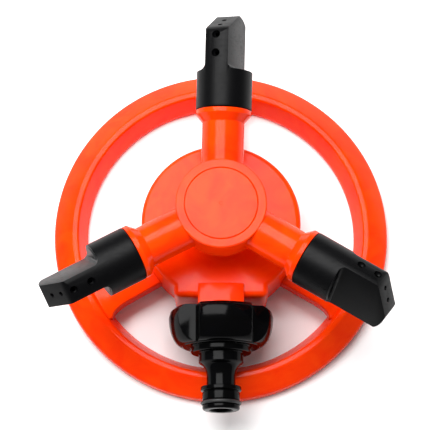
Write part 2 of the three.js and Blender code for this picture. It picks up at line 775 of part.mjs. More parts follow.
const sprinkler = new THREE.Group();
sprinkler.add(piece("base_ring", "orange", baseRing()));
sprinkler.add(piece("hub_housing", "orange", hubHousing()));
spokeAngles.forEach((angle, index) => {
  sprinkler.add(piece(`hub_screw_${index + 1}`, "steel", hubScrew(angle)));
});
sprinkler.add(piece("spindle", "acetal", spindle()));
sprinkler.add(piece("spindle_seal", "rubber", spindleSeal()));
sprinkler.add(piece("lower_thrust_washer", "acetal", washer(flangeTop + fitGap)));
sprinkler.add(piece("upper_thrust_washer", "acetal", washer(bearingTop + fitGap)));
sprinkler.add(piece("retaining_nut", "steel", retainingNut()));

const rotor = new THREE.Group();
rotor.rotation.z = deg(rotorRestTurn);
rotor.add(piece("rotor_body", "orange", rotorBody()));
rotor.add(piece("rotor_cap", "orange", rotorCap()));
rotor.add(piece("cap_seal", "rubber", capSeal()));
nozzleRestTurns.forEach((turn, index) => {
  const arm = new THREE.Group();
  arm.position.z = armHeight;
  arm.rotation.set(0, -deg(armIncline), deg(spokeAngles[0] + (360 / armCount) * index), "ZYX");
  const mouth = new THREE.Group();
  mouth.position.x = armMouthDistance;
  mouth.rotation.x = deg(turn);
  mouth.add(piece(`nozzle_${index + 1}`, "satinBlack", nozzle()));
  mouth.add(piece(`nozzle_seal_${index + 1}`, "rubber", nozzleSeal()));
  arm.add(mouth);
  rotor.add(arm);
});
sprinkler.add(rotor);

sprinkler.add(piece("hose_connector", "glossBlack", hoseConnector()));
sprinkler.add(piece("inlet_washer", "rubber", inletWasher()));
sprinkler.add(piece("nipple_o_ring", "rubber", nippleORing()));

export default sprinkler;
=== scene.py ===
import math

import bmesh
import bpy
from mathutils import Matrix, Vector


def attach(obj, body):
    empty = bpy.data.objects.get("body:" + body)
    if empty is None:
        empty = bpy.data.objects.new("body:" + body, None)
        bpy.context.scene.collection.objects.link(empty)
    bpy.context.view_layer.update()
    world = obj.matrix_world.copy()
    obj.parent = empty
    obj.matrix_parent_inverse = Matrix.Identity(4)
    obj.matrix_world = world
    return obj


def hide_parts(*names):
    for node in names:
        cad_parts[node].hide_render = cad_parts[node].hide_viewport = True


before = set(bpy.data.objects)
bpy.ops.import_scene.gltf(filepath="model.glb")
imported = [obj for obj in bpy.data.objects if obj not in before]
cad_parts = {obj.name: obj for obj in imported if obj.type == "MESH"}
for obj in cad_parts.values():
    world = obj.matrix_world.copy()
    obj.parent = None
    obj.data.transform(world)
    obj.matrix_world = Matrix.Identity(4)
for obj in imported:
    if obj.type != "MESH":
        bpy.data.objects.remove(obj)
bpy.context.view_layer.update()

mm = 0.001
tau = 2 * math.pi
past = 1        # how far a cutting shape runs past what it cuts

# every size below is in millimetres, in the frame's own axes: the rotor's axis is Z, the inlet faces -Y
view = {"elevation": 76.5, "distance": 1200, "aim": (-2.62, 11.15), "lens": 224.2}


def makeCamera():
    tilt = math.radians(view["elevation"])
    aim = Vector((view["aim"][0], view["aim"][1], 0)) * mm
    back = Vector((0, -math.cos(tilt), math.sin(tilt))) * view["distance"] * mm
    lensData = bpy.data.cameras.new("camera")
    lensData.lens = view["lens"]
    lensData.sensor_width = 36
    lensData.clip_start = 0.05
    lensData.clip_end = 20
    camera = bpy.data.objects.new("camera", lensData)
    camera.location = aim + back
    camera.rotation_euler = (math.radians(90) - tilt, 0, 0)
    bpy.context.scene.collection.objects.link(camera)
    bpy.context.scene.camera = camera
    print("camera placed")


def softProfile(corners, steps=5):
    # corners are (radius, height, rounding); each rounded corner becomes an arc
    points = []
    count = len(corners)
    for index, corner in enumerate(corners):
        here = Vector(corner[:2])
        rounding = corner[2] if len(corner) > 2 else 0
        if rounding == 0:
            points.append(here)
            continue
        before = Vector(corners[index - 1][:2]) - here
        after = Vector(corners[(index + 1) % count][:2]) - here
        half = before.angle(after) / 2
        reach = min(rounding / math.tan(half), before.length * 0.49, after.length * 0.49)
        radius = reach * math.tan(half)
        start = here + before.normalized() * reach
        finish = here + after.normalized() * reach
        middle = here + (before.normalized() + after.normalized()).normalized() * radius / math.sin(half)
        for step in range(steps + 1):
            arm = start.lerp(finish, step / steps) - middle
            points.append(middle + arm.normalized() * radius)
    return points


def spun(corners, steps=96, closed=False):
    # a solid of revolution about Z; a profile that isn't closed starts and ends on the axis
    bm = bmesh.new()
    points = softProfile(corners)
    verts = [bm.verts.new((max(point.x, 0) * mm, 0, point.y * mm)) for point in points]
    edges = [bm.edges.new(pair) for pair in zip(verts, verts[1:])]
    if closed:
        edges.append(bm.edges.new((verts[-1], verts[0])))
    bmesh.ops.spin(
        bm, geom=verts + edges, cent=(0, 0, 0), axis=(0, 0, 1), angle=tau, steps=steps, use_merge=True,
    )
    return tidied(bm)


def rod(radius, low, high, steps):
    return spun([(0, low), (radius, low), (radius, high), (0, high)], steps)


def tidied(bm):
    bmesh.ops.remove_doubles(bm, verts=bm.verts, dist=1e-6)
    bmesh.ops.dissolve_degenerate(bm, edges=bm.edges, dist=1e-7)
    bmesh.ops.recalc_face_normals(bm, faces=bm.faces)
    return bm


def prism(outline, low, high, roundTop=0, roundBottom=0, steps=4):
    # an outline in X and Y raised from low to high, with its top or bottom rim rounded
    bm = bmesh.new()
    verts = [bm.verts.new((point[0] * mm, point[1] * mm, low * mm)) for point in outline]
    face = bm.faces.new(verts)
    raised = bmesh.ops.extrude_face_region(bm, geom=[face])
    moved = [item for item in raised["geom"] if isinstance(item, bmesh.types.BMVert)]
    bmesh.ops.translate(bm, verts=moved, vec=(0, 0, (high - low) * mm))
    bmesh.ops.recalc_face_normals(bm, faces=bm.faces)
    for rounding, height in ((roundTop, high), (roundBottom, low)):
        if rounding > 0:
            level = height * mm
            rim = [edge for edge in bm.edges if all(abs(vert.co.z - level) < 1e-7 for vert in edge.verts)]
            bevelEdges(bm, rim, rounding, steps)
    return bm


def bevelEdges(bm, edges, width, steps):
    bmesh.ops.bevel(
        bm, geom=edges, offset=width * mm, offset_type="OFFSET", affect="EDGES", segments=steps,
        profile=0.5, material=-1, clamp_overlap=True,
    )


def arcPoints(centre, radius, start, end, steps):
    angles = [math.radians(start + (end - start) * step / steps) for step in range(steps + 1)]
    return [(centre[0] + radius * math.cos(a), centre[1] + radius * math.sin(a)) for a in angles]


def curvePoints(first, pull, last, steps):
    points = []
    for step in range(steps + 1):
        t = step / steps
        points.append(tuple(
            (1 - t) ** 2 * a + 2 * t * (1 - t) * b + t * t * c for a, b, c in zip(first, pull, last)))
    return points


def turnedTo(bm, turn=None, shift=(0, 0, 0)):
    matrix = Matrix.Translation(Vector(shift) * mm) @ (turn or Matrix.Identity(4))
    bmesh.ops.transform(bm, matrix=matrix, verts=bm.verts)
    return bm


def helperObject(bm):
    mesh = bpy.data.meshes.new("helper")
    bm.to_mesh(mesh)
    bm.free()
    piece = bpy.data.objects.new("helper", mesh)
    bpy.context.scene.collection.objects.link(piece)
    return piece


def combined(first, second, how):
    # UNION, DIFFERENCE or INTERSECT of two closed shapes
    base = helperObject(first)
    tool = helperObject(second)
    modifier = base.modifiers.new("combine", "BOOLEAN")
    modifier.operation = how
    modifier.solver = "EXACT"
    modifier.object = tool
    result = bmesh.new()
    result.from_object(base, bpy.context.evaluated_depsgraph_get())
    for piece in (base, tool):
        mesh = piece.data
        bpy.data.objects.remove(piece)
        bpy.data.meshes.remove(mesh)
    bmesh.ops.remove_doubles(result, verts=result.verts, dist=2e-6)
    return result


def joined(*solids):
    whole = solids[0]
    for solid in solids[1:]:
        whole = combined(whole, solid, "UNION")
    return whole


def carved(whole, *tools):
    for tool in tools:
        whole = combined(whole, tool, "DIFFERENCE")
    return whole


def sharpEdges(bm, angle=35):
    limit = math.radians(angle)
    return [edge for edge in bm.edges if len(edge.link_faces) == 2 and edge.calc_face_angle() > limit]


def finished(name, bm, material, body, replacing, smoothAngle=32):
    mesh = bpy.data.meshes.new(name)
    for face in bm.faces:
        face.smooth = True
    bm.to_mesh(mesh)
    bm.free()
    mesh.set_sharp_from_angle(angle=math.radians(smoothAngle))
    mesh.materials.append(material)
    piece = bpy.data.objects.new(name, mesh)
    bpy.context.scene.collection.objects.link(piece)
    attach(piece, body)
    if replacing:
        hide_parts(*replacing)
    print("made", name, len(mesh.polygons), "faces")
    return piece


def addGroup(name, inputs, outputs):
    group = bpy.data.node_groups.new(name, "ShaderNodeTree")
    for label, kind, value in inputs:
        socket = group.interface.new_socket(name=label, in_out="INPUT", socket_type=kind)
        socket.default_value = value
    for label, kind in outputs:
        group.interface.new_socket(name=label, in_out="OUTPUT", socket_type=kind)
    return group, group.nodes.new("NodeGroupInput"), group.nodes.new("NodeGroupOutput")


def mathNode(tree, operation, first, second):
    node = tree.nodes.new("ShaderNodeMath")
    node.operation = operation
    for socket, value in zip(node.inputs, (first, second)):
        if isinstance(value, (int, float)):
            socket.default_value = value
        else:
            tree.links.new(value, socket)
    return node.outputs[0]


def makeMouldSurface():
    # moulded plastic: slow colour drift and flow marks, fine orange peel, small rubs that dull the gloss
    group, given, result = addGroup(
        "mouldSurface",
        [
            ("Colour", "NodeSocketColor", (0.5, 0.5, 0.5, 1)),
            ("Deep Colour", "NodeSocketColor", (0.4, 0.4, 0.4, 1)),
            ("Roughness", "NodeSocketFloat", 0.2),
            ("Rubbed", "NodeSocketFloat", 0.1),
            ("Grain Scale", "NodeSocketFloat", 900),
            ("Flow Scale", "NodeSocketFloat", 60),
        ],
        [("Colour", "NodeSocketColor"), ("Roughness", "NodeSocketFloat"), ("Height", "NodeSocketFloat")],
    )
    nodes, links = group.nodes, group.links
    place = nodes.new("ShaderNodeTexCoord")

    flow = nodes.new("ShaderNodeTexNoise")
    flow.inputs["Detail"].default_value = 4
    flow.inputs["Roughness"].default_value = 0.55
    flow.inputs["Distortion"].default_value = 1.4
    links.new(place.outputs["Object"], flow.inputs["Vector"])
    links.new(given.outputs["Flow Scale"], flow.inputs["Scale"])
    flowRange = nodes.new("ShaderNodeMapRange")
    flowRange.inputs["From Min"].default_value = 0.35
    flowRange.inputs["From Max"].default_value = 0.68
    links.new(flow.outputs["Fac"], flowRange.inputs["Value"])

    blend = nodes.new("ShaderNodeMix")
    blend.data_type = "RGBA"
    links.new(flowRange.outputs["Result"], blend.inputs["Factor"])
    links.new(given.outputs["Colour"], blend.inputs["A"])
    links.new(given.outputs["Deep Colour"], blend.inputs["B"])
    links.new(blend.outputs["Result"], result.inputs["Colour"])

    rubPlace = nodes.new("ShaderNodeMapping")
    rubPlace.inputs["Scale"].default_value = (1, 5, 2)
    rubPlace.inputs["Rotation"].default_value = (0.3, 0.5, 0.9)
    links.new(place.outputs["Object"], rubPlace.inputs["Vector"])
    rub = nodes.new("ShaderNodeTexNoise")
    rub.inputs["Scale"].default_value = 240
    rub.inputs["Detail"].default_value = 6
    links.new(rubPlace.outputs["Vector"], rub.inputs["Vector"])
    rubMask = nodes.new("ShaderNodeMapRange")
    rubMask.inputs["From Min"].default_value = 0.5
    rubMask.inputs["From Max"].default_value = 0.8
    links.new(rub.outputs["Fac"], rubMask.inputs["Value"])
    rubAmount = mathNode(group, "MULTIPLY", rubMask.outputs["Result"], given.outputs["Rubbed"])
    drift = mathNode(group, "MULTIPLY", flowRange.outputs["Result"], 0.045)
    rougher = mathNode(group, "ADD", given.outputs["Roughness"], rubAmount)
    rougher = mathNode(group, "ADD", rougher, drift)
    links.new(rougher, result.inputs["Roughness"])

    grain = nodes.new("ShaderNodeTexNoise")
    grain.inputs["Detail"].default_value = 3
    links.new(place.outputs["Object"], grain.inputs["Vector"])
    links.new(given.outputs["Grain Scale"], grain.inputs["Scale"])
    flowHeight = mathNode(group, "MULTIPLY", flow.outputs["Fac"], 3)
    height = mathNode(group, "ADD", grain.outputs["Fac"], flowHeight)
    links.new(height, result.inputs["Height"])
    return group


def srgb(red, green, blue):
    def linear(value):
        value = value / 255
        return value / 12.92 if value <= 0.04045 else ((value + 0.055) / 1.055) ** 2.4
    return (linear(red), linear(green), linear(blue), 1)


def plasticMaterial(name, group, finish):
    material = bpy.data.materials.new(name)
    material.use_nodes = True
    tree = material.node_tree
    shader = tree.nodes["Principled BSDF"]
    surface = tree.nodes.new("ShaderNodeGroup")
    surface.node_tree = group
    surface.inputs["Colour"].default_value = finish["colour"]
    surface.inputs["Deep Colour"].default_value = finish["deep"]
    surface.inputs["Roughness"].default_value = finish["roughness"]
    surface.inputs["Rubbed"].default_value = finish["rubbed"]
    surface.inputs["Grain Scale"].default_value = finish["grain"]
    tree.links.new(surface.outputs["Colour"], shader.inputs["Base Color"])
    tree.links.new(surface.outputs["Roughness"], shader.inputs["Roughness"])
    bump = tree.nodes.new("ShaderNodeBump")
    bump.inputs["Strength"].default_value = finish["bump"]
    bump.inputs["Distance"].default_value = finish["depth"] * mm
    tree.links.new(surface.outputs["Height"], bump.inputs["Height"])
    tree.links.new(bump.outputs["Normal"], shader.inputs["Normal"])
    shader.inputs["IOR"].default_value = finish["ior"]
    shader.inputs["Specular IOR Level"].default_value = finish.get("shine", 0.5)
    shader.inputs["Metallic"].default_value = finish.get("metallic", 0)
    return material


def makeFinishes():
    group = makeMouldSurface()
    finishes = {
        "orange": {
            "colour": srgb(252, 62, 2), "deep": srgb(246, 47, 1), "roughness": 0.14, "rubbed": 0.06,
            "grain": 700, "bump": 0.16, "depth": 0.02, "ior": 1.5, "shine": 0.1,
        },
        "satinBlack": {
            "colour": srgb(6, 6, 7), "deep": srgb(4, 4, 5), "roughness": 0.36, "rubbed": 0.12,
            "grain": 2600, "bump": 0.35, "depth": 0.03, "ior": 1.45, "shine": 0.1,
        },
        "glossBlack": {
            "colour": srgb(4, 4, 5), "deep": srgb(3, 3, 3), "roughness": 0.1, "rubbed": 0.08, "shine": 0.055,
            "grain": 800, "bump": 0.15, "depth": 0.02, "ior": 1.5,
        },
        "rubber": {
            "colour": srgb(24, 24, 25), "deep": srgb(18, 18, 18), "roughness": 0.5, "rubbed": 0.15,
            "grain": 3200, "bump": 0.3, "depth": 0.03, "ior": 1.5,
        },
        "acetal": {
            "colour": srgb(232, 230, 222), "deep": srgb(224, 221, 210), "roughness": 0.34, "rubbed": 0.1,
            "grain": 1500, "bump": 0.15, "depth": 0.02, "ior": 1.48,
        },
        "steel": {
            "colour": srgb(200, 202, 205), "deep": srgb(184, 186, 188), "roughness": 0.26, "rubbed": 0.16,
            "grain": 2400, "bump": 0.2, "depth": 0.02, "ior": 2.5, "metallic": 1,
        },
    }
    materials = {name: plasticMaterial(name, group, finish) for name, finish in finishes.items()}
    print("finishes made")
    return materials


ringSizes = {
    "radius": 74, "foot": 59.2, "shoulder": 5.4, "crestOut": 65.7, "crestIn": 63.1, "crest": 12.9,
    "footHeight": 2.7, "wall": 2.2, "steps": 180,
    "footRound": 0.4, "shoulderRound": 2.2, "outerCrestRound": 1.6, "innerCrestRound": 1.1,
    "innerRound": 1.6,
    "channelDrop": 1, "channelOut": 0.8, "channelIn": 1.2,
    "channelRound": 1, "channelCrestRound": 0.6, "channelInnerRound": 0.8,
    "spokes": (90, 210, 330), "spokeHalf": 6, "spokeRound": 1, "flare": 3.2, "flareLength": 9,
    "flareReach": 1, "flareSteps": 10, "spokeRoot": 4, "spokeTop": 11.3, "spokeLow": 3,
    "panGap": 0.3, "panRound": 0.3, "seat": 2.6, "footPad": 9, "padRound": 0.5,
    "screwCircle": 24, "headBore": 3.9, "shankBore": 2.2, "boreLow": 2, "boreHigh": 12,
    "post": 5, "postRound": 0.3, "postSink": 0.5,
}


def spokeOutline(inset, end):
    size = ringSizes
    foot = size["foot"]
    half = size["spokeHalf"] - inset
    wide = half + size["flare"]
    start = foot - size["flareLength"]
    reach = size["flareReach"]
    side = curvePoints((start, half), (foot - reach, half), (foot + reach, wide), size["flareSteps"])
    upper = [(hubSizes["radius"] - size["spokeRoot"], half)] + side + [(end, wide)]
    return [(x, -y) for x, y in upper] + list(reversed(upper))


def screwPlace(angle):
    reach = ringSizes["screwCircle"]
    return (reach * math.cos(math.radians(angle)), reach * math.sin(math.radians(angle)), 0)


def spinZ(angle):
    return Matrix.Rotation(math.radians(angle), 4, "Z")


def makeRingBase(materials):
    size = ringSizes
    wall = size["wall"]
    foot = size["foot"]
    radius = size["radius"]
    whole = spun([
        (foot, 0, size["footRound"]),
        (radius, 0, size["footRound"]),
        (radius, size["shoulder"], size["shoulderRound"]),
        (size["crestOut"], size["crest"], size["outerCrestRound"]),
        (size["crestIn"], size["crest"], size["innerCrestRound"]),
        (foot, size["footHeight"], size["innerRound"]),
    ], size["steps"], closed=True)
    channel = spun([
        (foot + wall, -past),
        (radius - wall, -past),
        (radius - wall, size["shoulder"] - size["channelDrop"], size["channelRound"]),
        (size["crestOut"] - size["channelOut"], size["crest"] - wall, size["channelCrestRound"]),
        (size["crestIn"] + size["channelIn"], size["crest"] - wall, size["channelCrestRound"]),
        (foot + wall, size["footHeight"], size["channelInnerRound"]),
    ], size["steps"], closed=True)

    end = (size["crestOut"] + foot) / 2
    low = size["spokeLow"]
    top = size["spokeTop"]
    hollows = []
    for angle in size["spokes"]:
        spoke = prism(spokeOutline(0, end), low, top, roundTop=size["spokeRound"])
        whole = joined(whole, turnedTo(spoke, spinZ(angle)))
        hollow = prism(spokeOutline(wall, end), low - past, top - wall)
        hollows.append(turnedTo(hollow, spinZ(angle)))
    whole = carved(whole, *hollows, channel)

    seatBottom = top - size["seat"]
    pan = prism(hubOutline(size["panGap"]), low, top, roundTop=size["panRound"], steps=2)
    panHollow = prism(hubOutline(size["panGap"] + wall), low - past, seatBottom)
    pad = spun([
        (0, 0),
        (size["footPad"], 0, size["padRound"]),
        (size["footPad"], top - past),
        (0, top - past),
    ], 64)
    whole = carved(joined(whole, pan), panHollow)
    whole = joined(whole, pad)
    for angle in size["spokes"]:
        place = screwPlace(angle)
        post = spun([
            (0, low),
            (size["post"], low, size["postRound"]),
            (size["post"], top - size["postSink"]),
            (0, top - size["postSink"]),
        ], 40)
        head = spun([
            (0, size["boreLow"]),
            (size["headBore"], size["boreLow"]),
            (size["headBore"], seatBottom),
            (size["shankBore"], seatBottom),
            (size["shankBore"], size["boreHigh"]),
            (0, size["boreHigh"]),
        ], 40)
        whole = carved(joined(whole, turnedTo(post, shift=place)), turnedTo(head, shift=place))
    return finished("ringBase", whole, materials["orange"], "base", ["base_ring"])


hubSizes = {
    "radius": 34.7, "noseHalf": 20.4, "noseFront": 32.8, "noseCorner": 2.5, "leastCorner": 0.4,
    "arcSteps": 120,
    "rim": 2.2, "deck": 33.2, "deckThick": 2.6, "bottom": 11.6, "wall": 2.2,
    "inletHeight": 25.7, "tube": 6.8, "bore": 4.8, "boreBack": -2.4, "boreEnd": 50,
    "saddleBack": 27.4, "saddleRise": 3.2, "saddleCrown": 1.2, "saddleRound": 0.7, "saddleRimAbove": 8,
    "neck": 10, "neckRound": 0.6, "neckEnd": 37.1,
    "flange": 11.4, "flangeBack": 35.3, "flangeRun": 0.8, "flangeRise": 0.4, "flangeRound": 0.3,
    "threadRoot": 12.06, "threadCrest": 13.2, "threadEnd": 45, "threadTurns": 3.05, "pitch": 1.814,
    "threadStep": 0.1, "threadRound": 0.5, "threadSink": 0.2, "threadStart": 1.1,
    "socketTop": 36.7, "socketBoss": 10, "bossLow": 15.7, "bossRound": 0.5,
    "socket": 6.9, "socketFloor": 26.7, "riserEnd": 40,
    "post": 4, "postTop": 30, "pilot": 2.2, "pilotLow": 9, "pilotTop": 23,
}


def hubOutline(inset):
    size = hubSizes
    radius = size["radius"] - inset
    half = size["noseHalf"] - inset
    front = size["noseFront"] - inset
    corner = max(size["noseCorner"] - inset, size["leastCorner"])
    joint = math.degrees(math.atan2(-math.sqrt(radius * radius - half * half), half))
    return (
        arcPoints((-half + corner, -front + corner), corner, 180, 270, 6)
        + arcPoints((half - corner, -front + corner), corner, 270, 360, 6)
        + arcPoints((0, 0), radius, joint, 180 - joint, size["arcSteps"])
    )


def alongInlet(bm):
    lie = Matrix.Rotation(math.radians(90), 4, "X")
    return turnedTo(bm, lie, (0, 0, hubSizes["inletHeight"]))


def threadRidge(base, crest, start, turns, pitch, baseWidth=1.0, crestWidth=0.3, steps=40):
    # a trapezium carried round the axis while it climbs, then capped at both ends
    bm = bmesh.new()
    corners = (
        (base, -baseWidth / 2),
        (base, baseWidth / 2),
        (crest, crestWidth / 2),
        (crest, -crestWidth / 2),
    )
    verts = [bm.verts.new((r * mm, 0, (start + baseWidth / 2 + h) * mm)) for r, h in corners]
    edges = [bm.edges.new((verts[index - 1], verts[index])) for index in range(4)]
    total = round(steps * turns)
    bmesh.ops.spin(
        bm, geom=verts + edges, cent=(0, 0, 0), axis=(0, 0, 1), dvec=(0, 0, pitch / steps * mm),
        angle=tau * total / steps, steps=total, use_merge=False,
    )
    bmesh.ops.holes_fill(bm, edges=[edge for edge in bm.edges if edge.is_boundary], sides=4)
    bmesh.ops.recalc_face_normals(bm, faces=bm.faces)
    return bm


def saddleOutline():
    size = hubSizes
    top = size["deck"] + size["saddleRise"] - size["inletHeight"]
    side = top - size["saddleCrown"]
    crown = curvePoints((size["neck"], side), (0, top + size["saddleCrown"]), (-size["neck"], side), 20)
    return [(-size["neck"], 0), (size["neck"], 0)] + crown


def makeHub(materials):
    size = hubSizes
    whole = prism(hubOutline(0), size["bottom"], size["deck"], roundTop=size["rim"], steps=6)
    hollow = prism(hubOutline(size["wall"]), size["bottom"] - past, size["deck"] - size["deckThick"])
    whole = carved(whole, hollow)

    tube = alongInlet(rod(size["tube"], 0, size["saddleBack"] + past, 48))
    saddle = prism(saddleOutline(), size["saddleBack"], size["neckEnd"])
    above = size["saddleRimAbove"] * mm
    rim = [edge for edge in sharpEdges(saddle) if max(vert.co.y for vert in edge.verts) > above]
    bevelEdges(saddle, rim, size["saddleRound"], 4)
    neck = alongInlet(spun([
        (0, size["saddleBack"]),
        (size["neck"], size["saddleBack"]),
        (size["neck"], size["flangeBack"] - size["flangeRun"], size["neckRound"]),
        (size["flange"], size["flangeBack"] + size["flangeRise"], size["flangeRound"]),
        (size["flange"], size["neckEnd"], size["flangeRound"]),
        (size["threadRoot"], size["neckEnd"] + size["threadStep"]),
        (size["threadRoot"], size["threadEnd"], size["threadRound"]),
        (0, size["threadEnd"]),
    ], 96))
    whole = joined(whole, tube, alongInlet(saddle), neck)
    ridge = threadRidge(
        size["threadRoot"] - size["threadSink"], size["threadCrest"], size["neckEnd"] + size["threadStart"],
        size["threadTurns"], size["pitch"])
    whole = joined(whole, alongInlet(ridge))
    boss = spun([
        (0, size["bossLow"]),
        (size["socketBoss"], size["bossLow"]),
        (size["socketBoss"], size["socketTop"], size["bossRound"]),
        (0, size["socketTop"]),
    ], 80)
    whole = joined(whole, boss)

    bores = [
        alongInlet(rod(size["bore"], size["boreBack"], size["boreEnd"], 48)),
        rod(size["bore"], size["inletHeight"], size["riserEnd"], 48),
        rod(size["socket"], size["socketFloor"], size["riserEnd"], 64),
    ]
    for angle in ringSizes["spokes"]:
        post = rod(size["post"], size["bottom"], size["postTop"], 32)
        whole = joined(whole, turnedTo(post, shift=screwPlace(angle)))
        pilot = rod(size["pilot"], size["pilotLow"], size["pilotTop"], 24)
        bores.append(turnedTo(pilot, shift=screwPlace(angle)))
    whole = carved(whole, *bores)
    return finished("hubHousing", whole, materials["orange"], "base", ["hub_housing"])


rotorSizes = {
    "restTurn": -1.5, "top": 68.6, "radius": 19.4, "height": 17.8, "round": 0.6, "lowRound": 1.2,
    "skirt": 13, "skirtLow": 36, "skirtInner": 10.8, "skirtRound": 0.4, "hollowUnder": 2,
    "hollowRound": 1.5, "stepRound": 1, "bearingLow": 40.8, "bearingTop": 53, "bearing": 5.7,
    "armHeight": 57.7, "incline": 5, "arm": 9, "passage": 4.4, "armBore": 6.6, "socketStart": 29.2,
    "boreEnd": 44, "mouth": 42.2, "flange": 11.9, "flangeLength": 2, "cone": 3.2,
    "coneRound": 0.6, "flangeRound": 0.5, "mouthRound": 0.25,
    "cap": 15.6, "capThick": 2.2, "chamber": 13.6, "seatChamfer": 0.3, "seatDepth": 0.25, "seatProud": 0.05,
}


def armTurn(angle):
    incline = Matrix.Rotation(math.radians(-rotorSizes["incline"]), 4, "Y")
    return spinZ(angle + rotorSizes["restTurn"]) @ incline


def alongArm(bm, angle):
    lie = Matrix.Rotation(math.radians(90), 4, "Y")
    return turnedTo(bm, armTurn(angle) @ lie, (0, 0, rotorSizes["armHeight"]))


def makeRotorBody(materials):
    size = rotorSizes
    top = size["top"]
    low = top - size["height"]
    whole = spun([
        (0, size["skirtLow"]),
        (size["skirt"], size["skirtLow"], size["skirtRound"]),
        (size["skirt"], low - size["hollowUnder"], size["hollowRound"]),
        (size["skirt"] + size["hollowUnder"], low, size["stepRound"]),
        (size["radius"], low, size["lowRound"]),
        (size["radius"], top, size["round"]),
        (0, top),
    ], 144)
    bores = []
    flangeStart = size["mouth"] - size["flangeLength"]
    for angle in ringSizes["spokes"]:
        arm = spun([
            (0, 0),
            (size["arm"], 0),
            (size["arm"], flangeStart - size["cone"], size["coneRound"]),
            (size["flange"], flangeStart, size["flangeRound"]),
            (size["flange"], size["mouth"], size["mouthRound"]),
            (0, size["mouth"]),
        ], 96)
        whole = joined(whole, alongArm(arm, angle))
        bore = spun([
            (0, size["chamber"] - past),
            (size["passage"], size["chamber"] - past),
            (size["passage"], size["socketStart"]),
            (size["armBore"], size["socketStart"]),
            (size["armBore"], size["boreEnd"]),
            (0, size["boreEnd"]),
        ], 64)
        bores.append(alongArm(bore, angle))
    ledge = top - size["capThick"]
    mouth = size["cap"] + size["seatChamfer"]
    bores.append(spun([
        (0, size["bearingTop"]),
        (size["chamber"], size["bearingTop"]),
        (size["chamber"], ledge),
        (size["cap"], ledge),
        (size["cap"], top - size["seatDepth"]),
        (mouth, top + size["seatProud"]),
        (mouth, top + 2 * past),
        (0, top + 2 * past),
    ], 144))
    bores.append(spun([
        (0, size["skirtLow"] - past),
        (size["skirtInner"], size["skirtLow"] - past),
        (size["skirtInner"], size["bearingLow"]),
        (size["bearing"], size["bearingLow"]),
        (size["bearing"], size["bearingTop"] + past),
        (0, size["bearingTop"] + past),
    ], 80))
    whole = carved(whole, *bores)
    finished("rotorBody", whole, materials["orange"], "rotor", ["rotor_body"])


capSizes = {
    "gap": 0.12, "lift": 0.3, "spigotInner": 9.1, "spigot": 13.3, "spigotLength": 3, "spigotRound": 0.2,
    "groove": 11.2, "grooveLow": 2.5, "grooveHigh": 0.4, "rimRound": 0.35,
    "dimple": 0.9, "dimpleRound": 0.2, "dimpleFloor": 0.7, "dimpleFloorRound": 0.1, "dimpleDepth": 0.12,
}


def makeRotorCap(materials):
    size = capSizes
    top = rotorSizes["top"]
    radius = rotorSizes["cap"] - size["gap"]
    under = top - rotorSizes["capThick"] + size["lift"]
    foot = under - size["spigotLength"]
    grooveLow = under - size["grooveLow"]
    grooveHigh = under - size["grooveHigh"]
    dimpleFloor = top - size["dimpleDepth"]
    cap = spun([
        (0, under),
        (size["spigotInner"], under),
        (size["spigotInner"], foot),
        (size["spigot"], foot, size["spigotRound"]),
        (size["spigot"], grooveLow),
        (size["groove"], grooveLow),
        (size["groove"], grooveHigh),
        (size["spigot"], grooveHigh),
        (size["spigot"], under),
        (radius, under, size["spigotRound"]),
        (radius, top, size["rimRound"]),
        (size["dimple"], top, size["dimpleRound"]),
        (size["dimpleFloor"], dimpleFloor, size["dimpleFloorRound"]),
        (0, dimpleFloor),
    ], 144)
    finished("rotorCap", cap, materials["orange"], "rotor", ["rotor_cap"])


nozzleSizes = {
    "radius": 12, "gap": 0.3, "mouthRound": 0.3, "mouthTaper": 0.05, "taperLength": 1.4,
    "bodyEnd": 17.2, "shoulder": 1.9, "blade": 10.3, "bladeStart": 3.6, "bladeRound": 0.6,
    "bladeRimFrom": 0.4,
    "fillet": 2.6, "filletLap": 0.5, "ridge": 3.4, "topEnd": 33.8, "tipEnd": 42.2, "tipDrop": 2.5,
    "bottomEnd": 37.5, "chinBack": 0.4, "chinPull": 0.8, "tipShare": 0.3, "ridgeShare": 0.6, "wall": 2.1,
    "reach": 44, "half": 14, "turnSteps": 96, "sharp": 28,
    "spigot": 6.3, "spigotLength": 12, "spigotRound": 0.8, "spigotEnd": 1.5,
    "groove": 4.2, "grooveEnd": -2.5, "grooveLength": 2.1, "bore": 3, "boreEnd": 5,
    "chamberStart": 3.1, "chamberGap": 2.7, "chamberRound": 1, "chamberEndRound": 1.5, "slotStart": 2,
    "topJets": (23.4, 31.5), "jetMouth": 1.8, "jetMouthTaper": 0.35, "jetRim": 0.3, "jetCone": 0.5,
    "jetBore": 0.85, "jetDepth": 1.2, "jetLow": 3.6,
    "endJets": (0.33, 0.68), "endJetLow": -4, "endJetRim": 0.3, "endJetCone": -0.4, "endJetMouth": 0.2,
    "restTurns": (-20, -25, -36),
}


def sideOutline(inset):
    # the nozzle's side: u outwards, w towards the jets
    size = nozzleSizes
    top = size["radius"] - inset
    start = size["bodyEnd"] - size["bladeStart"]
    tip = (size["tipEnd"] - inset, -size["tipDrop"] - inset * size["tipShare"])
    pull = (size["tipEnd"] - size["chinBack"] - inset, -size["radius"] * size["chinPull"])
    chin = curvePoints(tip, pull, (size["bottomEnd"] - inset, -top), 14)
    ridge = [(size["topEnd"] - inset * size["ridgeShare"], top)]
    if inset == 0:
        corner = Vector(ridge[0])
        fall = (Vector(tip) - corner).normalized() * size["ridge"]
        ridge = curvePoints(corner + fall, corner, corner - Vector((size["ridge"], 0)), 8)
    return [(start, -top)] + list(reversed(chin)) + ridge + [(start, top)]


